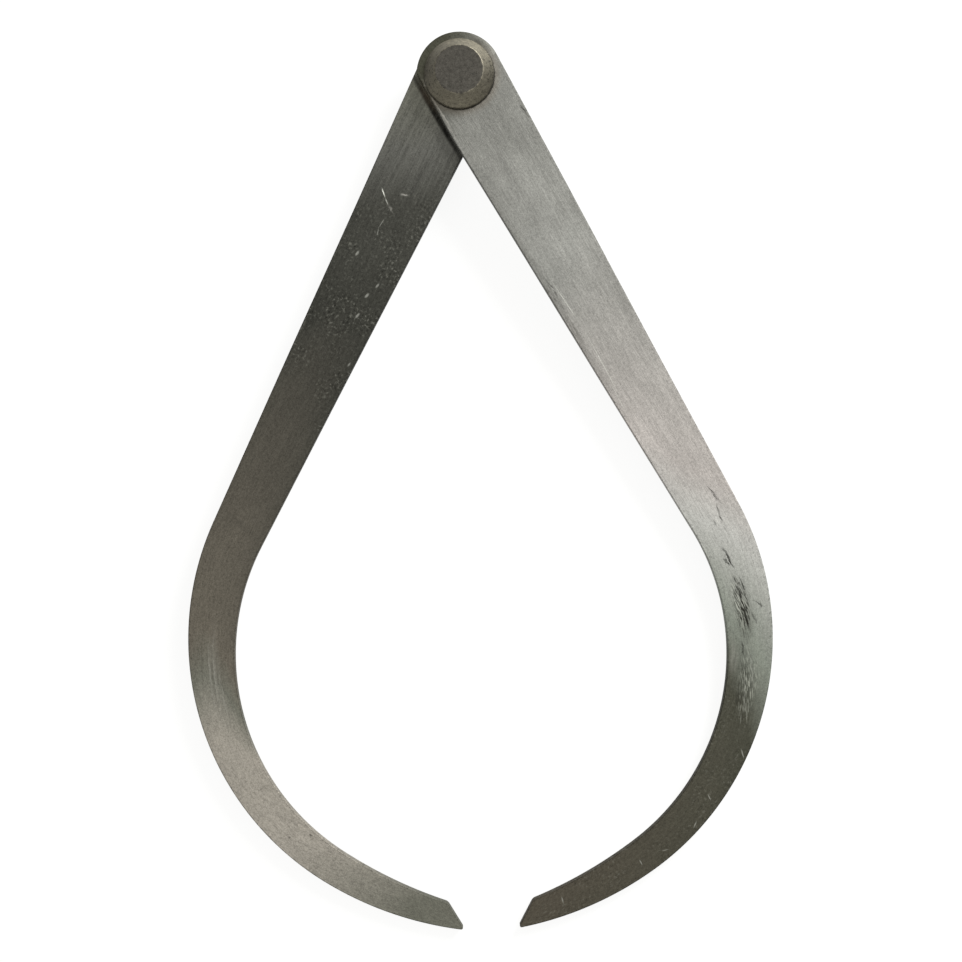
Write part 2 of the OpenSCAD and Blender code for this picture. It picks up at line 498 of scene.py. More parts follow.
def outline(grid: np.ndarray, cap: np.ndarray) -> np.ndarray:
    """The outline of a leg: over the round end, down the inner edge and back up the outer one."""
    return np.concatenate([grid[:1, -1], cap, grid[:, 0], grid[-1, 1:], grid[-2:0:-1, -1]])


@dataclass
class Leg:
    """One leg: a flat bar with a round end, a straight that tapers, a bow and a slanted tip.

    Attributes:
        hole_size: Half the width of a square hole or the radius of a round one.
        edge_r: Radius of the broken edges.
        row_step: Distance between two stations.
        edge_steps: How many quads go round a broken edge.
        arc_steps: How many points go round the round end.
        side_steps: How many points go along a short straight edge, both its ends included.
        ring_steps: How many rings of quads lie round the hole.
        tip_share: How far back from the end the rows swing round to the end face, as a share of
            its length.
    """

    node: str
    body: str
    side: Side
    hole: Hole
    hole_size: float
    finish: "LegFinish"
    shape: LegShape
    edge_r: float = 0.15
    row_step: float = 1.6
    edge_steps: int = 4
    arc_steps: int = 72
    side_steps: int = 8
    ring_steps: int = 6
    tip_share: float = 1.5

    def rows(self) -> Rows:
        """Works out the stations from the chord at the end of the root to the tip.

        Each stretch runs by one share f on both edges: the straights by f of their height, and
        each arc by centre + radius * along(start angle + f * sweep).

        Returns:
            The stations.
        """
        s = self.shape
        counts = [
            int(round(length / self.row_step))
            for length in (
                s.straight_length - s.root_length,
                s.bow_r * math.radians(s.bow_sweep),
                s.lower_bow_r * math.radians(s.lower_bow_sweep),
            )
        ]
        f = np.linspace(0, 1, counts[0], endpoint=False)[:, None]
        y = -s.root_length - f * (s.straight_length - s.root_length)
        slope = (s.outer_start - s.outer_root) / (s.outer_start - s.outer_root)[1]
        outer = [s.outer_start + (y - s.outer_start[1]) * slope]
        outer_n = [np.broadcast_to(along(s.taper), outer[0].shape)]
        inner = [np.hstack([s.inner_knee[0] + 0 * y, y])]
        inner_n = [np.broadcast_to(along(180.0), inner[0].shape)]

        f = np.linspace(0, 1, counts[1], endpoint=False)
        turn = along(s.taper + f * s.bow_sweep)
        outer.append(s.bow_c + s.bow_r * turn)
        outer_n.append(turn)
        turn = along(f * s.inner_mid_angle)
        inner.append(s.inner_c + s.inner_r * turn)
        inner_n.append(-turn)

        f = np.linspace(0, 1, counts[2] + 1)
        end = bearing(s.nose_c - s.lower_bow_c)
        turn = along(s.mid_angle + f * (end - s.mid_angle))
        outer.append(s.lower_bow_c + s.lower_bow_r * turn)
        outer_n.append(turn)
        end = bearing(s.corner_c - s.lower_inner_c)
        turn = along(s.inner_mid_angle + f * (end - s.inner_mid_angle))
        inner.append(s.lower_inner_c + s.lower_inner_r * turn)
        inner_n.append(-turn)

        edges = [np.vstack(part) for part in (outer, outer_n, inner, inner_n)]
        middle = (edges[0] + edges[2]) / 2
        steps = np.hypot(*np.diff(middle, axis=0).T)
        return Rows(*edges, s.root_length + np.concatenate([[0.0], np.cumsum(steps)]))

    def end_curve(self) -> tuple[np.ndarray, np.ndarray]:
        """The end of the leg: round the corner, along the end face and round the nose.

        Returns:
            The points from the inner edge to the outer one, and their outward normals. An arc's
            point is centre + radius * normal, and the face's points share one normal.
        """
        s = self.shape
        face = bearing(-s.face_n)
        first = bearing(s.lower_inner_c - s.corner_c)
        last = bearing(s.nose_c - s.lower_bow_c)
        share = np.linspace(0, 1, self.edge_steps + 2)
        corner_n = along(first + share * ((face - first + 180) % 360 - 180))
        nose_n = along(face + share * ((last - face + 180) % 360 - 180))
        corner = s.corner_c + s.tip_corner_r * corner_n
        nose = s.nose_c + s.nose_r * nose_n
        f = np.linspace(0, 1, self.side_steps)[1:-1, None]
        flat = corner[-1] + f * (nose[0] - corner[-1])
        flat_n = np.broadcast_to(-s.face_n, flat.shape)
        return np.vstack([corner, flat, nose]), np.vstack([corner_n, flat_n, nose_n])

    def round_end(self, rows: Rows) -> tuple[np.ndarray, np.ndarray]:
        """The edge from the outer end of the chord, over the round end, to the inner end of it.

        Args:
            rows: The stations, the first of which is the chord.

        Returns:
            The points between the two ends, and their outward normals.
        """
        s = self.shape
        f = np.linspace(0, 1, self.side_steps)[1:-1, None]
        outer = rows.outer[0] + f * (s.outer_root - rows.outer[0])
        inner = s.inner_root + f * (rows.inner[0] - s.inner_root)
        turn = along(np.linspace(s.taper, bearing(s.inner_root), self.arc_steps))
        points = np.vstack([outer, s.end_r * turn, inner])
        outer_n = np.broadcast_to(along(s.taper), outer.shape)
        inner_n = np.broadcast_to(s.root_n, inner.shape)
        return points, np.vstack([outer_n, turn, inner_n])

    def hole_edge(self, directions: np.ndarray) -> np.ndarray:
        """The edge of the hole: a circle, or a square, which is size / max(|x|, |y|) away.

        Args:
            directions: Unit directions from the joint axis.

        Returns:
            The point of the edge in each direction.
        """
        reach = np.full(len(directions), self.hole_size)
        if self.hole is Hole.SQUARE:
            reach = self.hole_size / np.abs(directions).max(axis=1)
        return directions * reach[:, None]

    def place(self, flat: np.ndarray, height: np.ndarray) -> np.ndarray:
        """Turns points of the flat leg into their place about the joint axis.

        Args:
            flat: The points, as X and Y.
            height: Their heights.

        Returns:
            The three coordinates of each point.
        """
        angle = math.radians(self.shape.rest_half_angle)
        x = flat[..., 0] * math.cos(angle) - flat[..., 1] * math.sin(angle)
        y = flat[..., 0] * math.sin(angle) + flat[..., 1] * math.cos(angle)
        return np.stack([self.side.value * x, y, np.broadcast_to(height, x.shape)], axis=-1)

    def strip(self, rows: Rows, end: np.ndarray, end_n: np.ndarray) -> Patch:
        """The face from the first station to the tip, a grid of the two edges' points.

        Each row goes from its inner point to its outer one by the share t, and the last rows
        swing round to the end of the leg.

        Args:
            rows: The stations.
            end: The points of the end, from the inner edge to the outer one.
            end_n: Their outward normals.

        Returns:
            The grid, with a row for each station and a column for each point of the end.
        """
        lengths = np.concatenate([[0.0], np.cumsum(np.hypot(*np.diff(end, axis=0).T))])
        t = lengths / lengths[-1]
        low = rows.inner - self.edge_r * rows.inner_n
        high = rows.outer - self.edge_r * rows.outer_n
        grid = low[:, None] + t[None, :, None] * (high - low)[:, None]
        tail = end - self.edge_r * end_n
        straight = tail[0] + t[:, None] * (tail[-1] - tail[0])
        to_tip = rows.distance[-1] - rows.distance
        weight = ease(1 - to_tip / (self.shape.tip_face_length * self.tip_share)) ** 2
        grid += weight[:, None, None] * (tail - straight)[None]

        width = np.hypot(*(rows.outer - rows.inner).T)[:, None]
        across = (t[None, :] - 0.5) * width
        distance = np.broadcast_to(rows.distance[:, None], across.shape)
        rim = np.minimum(width / 2 - np.abs(across), to_tip[:, None] + 0 * across)
        return Patch(grid, np.stack([distance, across], axis=-1), rim)

    def rings(self, strip: Patch, cap: Patch) -> Patch:
        """The face round the hole.

        Args:
            strip: The face from the first station on.
            cap: The border of the face along the round end.

        Returns:
            Rings from the hole up to the border that they share with the strip and the cap,
            without that border.
        """
        border = hole_side(strip.flat, cap.flat)
        border_run = hole_side(strip.run, cap.run)
        bore = self.hole_edge(border / np.hypot(*border.T)[:, None])
        bore_run = np.stack([-bore[:, 1], bore[:, 0]], axis=-1)
        f = np.linspace(0, 1, self.ring_steps + 1)[:-1, None, None]
        flat = bore + f * (border - bore)
        run = bore_run + f * (border_run - bore_run)
        width = self.shape.end_r - self.hole_size
        return Patch(flat, run, hole_side(strip.rim, cap.rim) + (1 - f[..., 0]) * width)

    def build(self, joint_z: float, bow_z: float) -> bpy.types.Object:
        """Makes the leg and dresses it: two faces, the wall between them and the hole.

        A quarter circle of radius edge_r joins each face to the wall.

        Args:
            joint_z: Height of the back of the leg round the joint.
            bow_z: Height of the back of the leg in the common plane.

        Returns:
            The finished object, riding on its body.
        """
        s = self.shape
        rows = self.rows()
        end, end_n = self.end_curve()
        cap, cap_n = self.round_end(rows)
        cap_run = np.stack([-cap[:, 1], cap[:, 0]], axis=-1)
        strip = self.strip(rows, end, end_n)
        inset_cap = Patch(cap - self.edge_r * cap_n, cap_run, np.full(len(cap), self.edge_r))
        rings = self.rings(strip, inset_cap)

        skin = Skin()
        loops, holes = [], []
        for depth in (0.0, s.thickness):
            grid, ring, outer_ring = (
                skin.add(
                    self.place(part.flat, s.back_height(part.flat[..., 1], joint_z, bow_z) + depth),
                    with_depth(part.run, depth),
                    part.rim,
                )
                for part in (strip, rings, inset_cap)
            )
            skin.cover(grid)
            skin.cover(np.vstack([ring, hole_side(grid, outer_ring)]), close_columns=True)
            holes.append(ring[0])
            loops.append(outline(grid, outer_ring))

        edge = np.vstack([rows.outer[:1], cap, rows.inner, end[1:], rows.outer[-2:0:-1]])
        edge_n = np.vstack([rows.outer_n[:1], cap_n, rows.inner_n, end_n[1:], rows.outer_n[-2:0:-1]])
        quarter = np.linspace(0, math.pi / 2, self.edge_steps + 1)[1:, None]
        inset = self.edge_r * (1 - np.sin(quarter))
        rise = self.edge_r * (1 - np.cos(quarter)) + 0 * edge[:, 0]
        band = edge - inset[..., None] * edge_n
        band_run = outline(strip.run, cap_run) + 0 * band
        back = s.back_height(edge[:, 1], joint_z, bow_z)
        walls = [
            skin.add(self.place(band, back + depth), with_depth(band_run, depth))
            for depth in (rise, s.thickness - rise)
        ]
        skin.cover(np.vstack([loops[0], walls[0], walls[1][::-1], loops[1]]), close_columns=True)
        skin.cover(np.vstack(holes), close_columns=True)
        return dressed(skin, self.node + "_bar", self)


def with_depth(run: np.ndarray, depth: np.ndarray | float) -> np.ndarray:
    """Adds the depth to distances along and across a leg."""
    return np.concatenate([run, np.broadcast_to(depth, run.shape[:-1])[..., None]], axis=-1)


def dressed(skin: Skin, name: str, part: "Leg | Turned") -> bpy.types.Object:
    """Makes a piece of a skin, with its finish, and puts it on its body.

    Args:
        skin: The gathered grids.
        name: The name of the object.
        part: The part, with its node, its body and its finish.

    Returns:
        The finished object, riding on its body.
    """
    piece = skin.build(name, part.finish.material())
    piece.modifiers.new("even_faces", "WEIGHTED_NORMAL").keep_sharp = True
    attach(piece, part.body)
    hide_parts(part.node)
    return piece


@dataclass
class Turned:
    """A piece turned about the joint axis: a profile, and flats that may cut into it.

    Attributes:
        turn: How far it is turned about the joint axis, in degrees.
        closed: Whether the profile goes round a section, and not from axis to axis.
        angle_steps: How many points go round the axis.
        level_step: The longest run between two points of the profile.
    """

    node: str
    body: str
    finish: "TurnedFinish"
    turn: float
    closed: bool = True
    angle_steps: int = 192
    level_step: float = 0.3

    def corners(self) -> list[Corner]:
        """The radius, the height and the rounding of each corner of the profile."""
        raise NotImplementedError

    def cut(self, way: np.ndarray, radius: np.ndarray, height: np.ndarray) -> np.ndarray:
        """Cuts the flats into the piece, of which a plain one has none.

        Args:
            way: Unit directions from the joint axis.
            radius: The profile's radii.
            height: The profile's heights.

        Returns:
            The radius left, for each point of the profile in each direction.
        """
        return radius + 0 * way[..., 0]

    def build(self) -> bpy.types.Object:
        """Makes the piece: the points (r cos a, r sin a, z) with r from the profile and flats.

        Returns:
            The finished object, riding on its body.
        """
        profile = rounded(self.corners(), self.closed, self.level_step)
        a = np.linspace(0, 2 * math.pi, self.angle_steps, endpoint=False)[None]
        way = np.stack([np.cos(a), np.sin(a)], axis=-1)
        height = profile[:, 1:] + 0 * a
        radius = self.cut(way, profile[:, :1], profile[:, 1:])
        a = a + math.radians(self.turn)
        points = np.stack([radius * np.cos(a), radius * np.sin(a), height], axis=-1)
        skin = Skin()
        skin.cover(skin.add(points, points), close_rows=self.closed, close_columns=True)
        return dressed(skin, self.node + "_turned", self)


@dataclass
class Stud(Turned):
    """The stud: a bevelled head, a square neck, a round shank and an end with a flat.

    Heights are measured from the back of the nut. A rounding says how far a corner is rounded,
    and the flat begins over key_step. A point up to play beyond the neck's corner is the neck's.
    """

    closed: bool = False
    head_z: float = 10.44
    neck_z: float = 8.24
    key_z: float = 5.2
    head_r: float = 8.2
    head_top_r: float = 5.6
    head_h: float = 4.2
    head_rim_h: float = 0.8
    head_rim_rounding: float = 0.25
    head_foot_rounding: float = 0.12
    shank_r: float = 3.0
    neck_half_width: float = 3.2
    key_x: float = 2.3
    key_step: float = 0.001
    edge: float = 0.18
    play: float = 0.01

    def corners(self) -> list[Corner]:
        """The profile from the middle of the head's top to the middle of the end.

        Returns:
            The radius, the height and the rounding of each corner.
        """
        top = self.head_z + self.head_h
        neck_corner = self.neck_half_width * math.sqrt(2)
        return [
            (0, top, 0),
            (self.head_top_r + self.edge / 2, top, self.edge),
            (self.head_r, self.head_z + self.head_rim_h, self.head_rim_rounding),
            (self.head_r, self.head_z, self.head_foot_rounding),
            (neck_corner, self.head_z, 0),
            (neck_corner, self.neck_z, 0),
            (self.shank_r, self.neck_z, 0),
            (self.shank_r, self.key_z, 0),
            (self.shank_r, self.key_z - self.key_step, 0),
            (self.shank_r, 0, self.edge),
            (0, 0, 0),
        ]

    def cut(self, way: np.ndarray, radius: np.ndarray, height: np.ndarray) -> np.ndarray:
        """Cuts the neck square, size / max(|x|, |y|), and the end flat, size / x.

        Args:
            way: Unit directions from the joint axis.
            radius: The profile's radii.
            height: The profile's heights.

        Returns:
            The radius left, for each point of the profile in each direction.
        """
        square = self.neck_half_width / np.abs(way).max(axis=-1)
        flat = self.key_x / np.maximum(way[..., 0], LEAST_COSINE)
        corner_r = self.neck_half_width * math.sqrt(2)
        neck = (height <= self.head_z) & (radius <= corner_r + self.play)
        left = np.where(neck, np.minimum(radius, square), radius)
        return np.where(height < self.key_z, np.minimum(left, flat), left)


@dataclass
class Washer(Turned):
    """A thin friction washer, with its back at height z."""

    z: float = 0.0
    height: float = 0.4
    outer_r: float = 8.6
    bore_r: float = 3.02
    outer_rounding: float = 0.1
    bore_rounding: float = 0.05

    def corners(self) -> list[Corner]:
        """The four corners of the section.

        Returns:
            The radius, the height and the rounding of each corner.
        """
        top = self.z + self.height
        return [
            (self.bore_r, self.z, self.bore_rounding),
            (self.outer_r, self.z, self.outer_rounding),
            (self.outer_r, top, self.outer_rounding),
            (self.bore_r, top, self.bore_rounding),
        ]


@dataclass
class Plate(Turned):
    """The turned plate behind the joint, with its back at height z, keyed on the stud's flat.

    A point up to bore_reach beyond the bore belongs to the bore's edge, which key_x cuts.
    """

    z: float = 3.2
    height: float = 2.0
    outer_r: float = 8.2
    back_r: float = 6.6
    rim_h: float = 0.7
    bore_r: float = 3.02
    bore_reach: float = 0.3
    key_x: float = 2.32
    back_bore_rounding: float = 0.15
    bevel_rounding: float = 0.25
    rim_rounding: float = 0.12
    bore_rounding: float = 0.1

    def corners(self) -> list[Corner]:
        """The section, with its bevel at the back.

        Returns:
            The radius, the height and the rounding of each corner.
        """
        top = self.z + self.height
        return [
            (self.bore_r, self.z, self.back_bore_rounding),
            (self.back_r, self.z, self.bevel_rounding),
            (self.outer_r, top - self.rim_h, self.bevel_rounding),
            (self.outer_r, top, self.rim_rounding),
            (self.bore_r, top, self.bore_rounding),
        ]

    def cut(self, way: np.ndarray, radius: np.ndarray, height: np.ndarray) -> np.ndarray:
        """Leaves the bore flat on the side of the key.

        Args:
            way: Unit directions from the joint axis.
            radius: The profile's radii.
            height: The profile's heights.

        Returns:
            The radius left, for each point of the profile in each direction.
        """
        flat = self.key_x / np.maximum(way[..., 0], LEAST_COSINE)
        bore = radius < self.bore_r + self.bore_reach
        return np.where(bore, np.minimum(radius, flat), radius)


@dataclass
class Nut(Turned):
    """The six-sided nut, its outer corners chamfered, which leaves the land on each flat."""

    level_step: float = 0.12
    height: float = 3.2
    across_flats: float = 10.0
    chamfer_angle: float = 30.0
    land: float = 0.3
    bore_r: float = 3.02
    back_bore_rounding: float = 0.3
    face_rounding: float = 0.15
    front_rounding: float = 0.1

    def corners(self) -> list[Corner]:
        """The section through the corners of the nut.

        Returns:
            The radius, the height and the rounding of each corner.
        """
        corner_r = self.across_flats / 2 / math.cos(math.pi / 6)
        face_r = self.across_flats / 2 - self.land
        rise = (corner_r - face_r) * math.tan(math.radians(self.chamfer_angle))
        return [
            (self.bore_r, 0, self.back_bore_rounding),
            (face_r, 0, self.face_rounding),
            (corner_r, rise, 0),
            (corner_r, self.height, self.front_rounding),
            (self.bore_r, self.height, self.front_rounding),
        ]

    def cut(self, way: np.ndarray, radius: np.ndarray, height: np.ndarray) -> np.ndarray:
        """Cuts the six flats: half the width / the greatest cosine from a flat's direction.

        Args:
            way: Unit directions from the joint axis.
            radius: The profile's radii.
            height: The profile's heights.

        Returns:
            The radius left, for each point of the profile in each direction.
        """
        flats = np.radians(np.arange(6) * 60)
        normals = np.stack([np.cos(flats), np.sin(flats)])
        return np.minimum(radius, self.across_flats / 2 / (way @ normals).max(axis=-1))


@dataclass
class Wire:
    """A shader socket on which numbers are reckoned, each step adding its Math node."""

    graph: "Graph"
    socket: bpy.types.NodeSocket

    def reckon(self, operation: str, *values: "Wire | float") -> "Wire":
        """Adds a Math node of this operation on the values."""
        node = self.graph.node("ShaderNodeMath", {"operation": operation}, dict(enumerate(values)))
        return Wire(self.graph, node.outputs[0])

    def __add__(self, other: "Wire | float") -> "Wire":
        """Adds."""
        return self.reckon("ADD", self, other)

    __radd__ = __add__

    def __mul__(self, other: "Wire | float") -> "Wire":
        """Multiplies."""
        return self.reckon("MULTIPLY", self, other)

    __rmul__ = __mul__

    def __sub__(self, other: "Wire | float") -> "Wire":
        """Subtracts the other value."""
        return self.reckon("SUBTRACT", self, other)

    def __rsub__(self, other: float) -> "Wire":
        """Subtracts this value from a number."""
        return self.reckon("SUBTRACT", other, self)

    def __pow__(self, other: float) -> "Wire":
        """Raises to a power."""
        return self.reckon("POWER", self, other)

    def root(self) -> "Wire":
        """Takes the square root."""
        return self.reckon("SQRT", self)

    def step(self, low: float, high: float) -> "Wire":
        """A smooth step, 3 f squared less 2 f cubed, of the share f of the way from low to high.

        Args:
            low: The value at which the step is 0.
            high: The value at which it is 1. It may lie below low.

        Returns:
            The step, between 0 and 1.
        """
        node = self.graph.node(
            "ShaderNodeMapRange",
            {"interpolation_type": "SMOOTHSTEP"},
            {"Value": self, "From Min": low, "From Max": high},
        )
        return Wire(self.graph, node.outputs["Result"])


class Graph:
    """The nodes of one material or of the world."""

    def __init__(self, tree: bpy.types.NodeTree) -> None:
        """Starts with no nodes."""
        self.tree = tree
        self.tree.nodes.clear()

    def node(self, kind: str, settings: dict, values: dict) -> bpy.types.Node:
        """Adds a node.

        Args:
            kind: The node's type.
            settings: Its own settings. For a ramp, stops gives pairs of place and colour.
            values: A value, a socket or a Wire for each input, by name or number.

        Returns:
            The node.
        """
        node = self.tree.nodes.new(kind)
        stops = settings.get("stops", ())
        for name, setting in settings.items():
            if name != "stops":
                setattr(node, name, setting)
        for i, (place, colour) in enumerate(stops):
            elements = node.color_ramp.elements
            element = elements[i] if i < len(elements) else elements.new(place)
            element.position = place
            element.color = (*colour, 1.0)
        for name, value in values.items():
            if isinstance(value, Wire):
                value = value.socket
            if isinstance(value, bpy.types.NodeSocket):
                self.tree.links.new(value, node.inputs[name])
            else:
                node.inputs[name].default_value = value
        return node

    def vector(self, x: Wire | float, y: Wire | float, z: Wire | float) -> bpy.types.NodeSocket:
        """Three numbers as a vector."""
        return self.node("ShaderNodeCombineXYZ", {}, {0: x, 1: y, 2: z}).outputs[0]

    def split(self, place: bpy.types.NodeSocket) -> tuple[Wire, Wire, Wire]:
        """The three numbers of a vector."""
        outputs = self.node("ShaderNodeSeparateXYZ", {}, {0: place}).outputs
        return Wire(self, outputs[0]), Wire(self, outputs[1]), Wire(self, outputs[2])

    def mix(
        self,
        share: Wire | float,
        first: bpy.types.NodeSocket | Colour,
        second: bpy.types.NodeSocket | Colour,
        blend: str = "MIX",
    ) -> bpy.types.NodeSocket:
        """Mixes two colours.

        Args:
            share: How much of the second colour there is.
            first: The first colour.
            second: The second colour.
            blend: The way in which they are mixed.

        Returns:
            The mixed colour.
        """
        settings = {"data_type": "RGBA", "blend_type": blend}
        colours = [v if isinstance(v, bpy.types.NodeSocket) else (*v, 1.0) for v in (first, second)]
        values = {0: share, MIX_COLOURS[0]: colours[0], MIX_COLOURS[1]: colours[1]}
        return self.node("ShaderNodeMix", settings, values).outputs[2]

    def shaded(self, colour: bpy.types.NodeSocket, shade: Wire) -> bpy.types.NodeSocket:
        """Makes a colour lighter or darker by a factor."""
        grey = self.node("ShaderNodeCombineColor", {}, {0: shade, 1: shade, 2: shade}).outputs[0]
        return self.mix(1.0, colour, grey, "MULTIPLY")


class Surface(Graph):
    """The nodes of one material, with its Principled shader and its output."""

    def __init__(self, name: str) -> None:
        """Starts the material.

        Args:
            name: Its name.
        """
        self.material = bpy.data.materials.new(name)
        self.material.use_nodes = True
        super().__init__(self.material.node_tree)
        self.noises: dict[Metal | TurnedMetal, Wire] = {}
        self.shader = self.node("ShaderNodeBsdfPrincipled", {}, {})
        self.output = self.node("ShaderNodeOutputMaterial", {}, {"Surface": self.shader.outputs[0]})

    def attribute(self, name: str, output: str) -> bpy.types.NodeSocket:
        """An attribute that the mesh carries."""
        return self.node("ShaderNodeAttribute", {"attribute_name": name}, {}).outputs[output]

    def metal(self, run: bpy.types.NodeSocket, kind: Metal | TurnedMetal) -> Wire:
        """A noise of the metal, added when it is first asked for.

        The run is slanted and then multiplied by the texture's scale.

        Args:
            run: Distance along the piece, distance across it and depth.
            kind: Which of the noises.

        Returns:
            The noise, with a mean of about a half.
        """
        look = kind.value
        if kind not in self.noises:
            if look.slant:
                x, y, z = self.split(run)
                run = self.vector(x, y + x * look.slant, z)
            values = {0: run, 1: look.scale}
            drawn = self.node("ShaderNodeVectorMath", {"operation": "MULTIPLY"}, values).outputs[0]
            values = {"Vector": drawn, "Scale": 1.0, "Detail": look.detail, "Roughness": look.rough}
            texture = self.node("ShaderNodeTexNoise", {}, values)
            self.noises[kind] = Wire(self, texture.outputs["Fac"])
        return self.noises[kind]

    def spots(self, run: bpy.types.NodeSocket, kind: Metal | TurnedMetal) -> Wire:
        """The spots that a noise of the metal makes, as its smooth step between its limits."""
        return self.metal(run, kind).step(*kind.value.limits)

    def blend(
        self, run: bpy.types.NodeSocket, noises: dict[Metal | TurnedMetal, float], middle: float
    ) -> Wire:
        """Adds up noises of the metal.

        Args:
            run: Distance along the piece, distance across it and depth.
            noises: How strongly each of them shows.
            middle: The value about which the sum lies.

        Returns:
            The sum.
        """
        start = middle - sum(noises.values()) / 2
        return sum((self.metal(run, kind) * amount for kind, amount in noises.items()), start=start)

    def finish(
        self, tone: bpy.types.NodeSocket, rough: Wire, height: Wire, depth: float
    ) -> bpy.types.Material:
        """Ends the material as bare metal.

        Args:
            tone: Its colour.
            rough: Its roughness.
            height: Its relief.
            depth: How deep a relief of 1 is, in metres.

        Returns:
            The material.
        """
        bump = {"Strength": 1.0, "Distance": depth, "Height": height}
        normal = self.node("ShaderNodeBump", {}, bump).outputs[0]
        for name, value in (("Base Color", tone), ("Roughness", rough.socket), ("Normal", normal)):
            self.tree.links.new(value, self.shader.inputs[name])
        self.shader.inputs["Metallic"].default_value = 1.0
        return self.material


@dataclass(frozen=True)
class Zone:
    """A stretch of a leg where the metal has a texture of its own.

    Attributes:
        first: Where it begins, as distance along the leg.
        last: Where it ends.
        amount: How strongly the texture shows there.
    """

    first: float = 0.0
    last: float = 1.0
    amount: float = 0.0


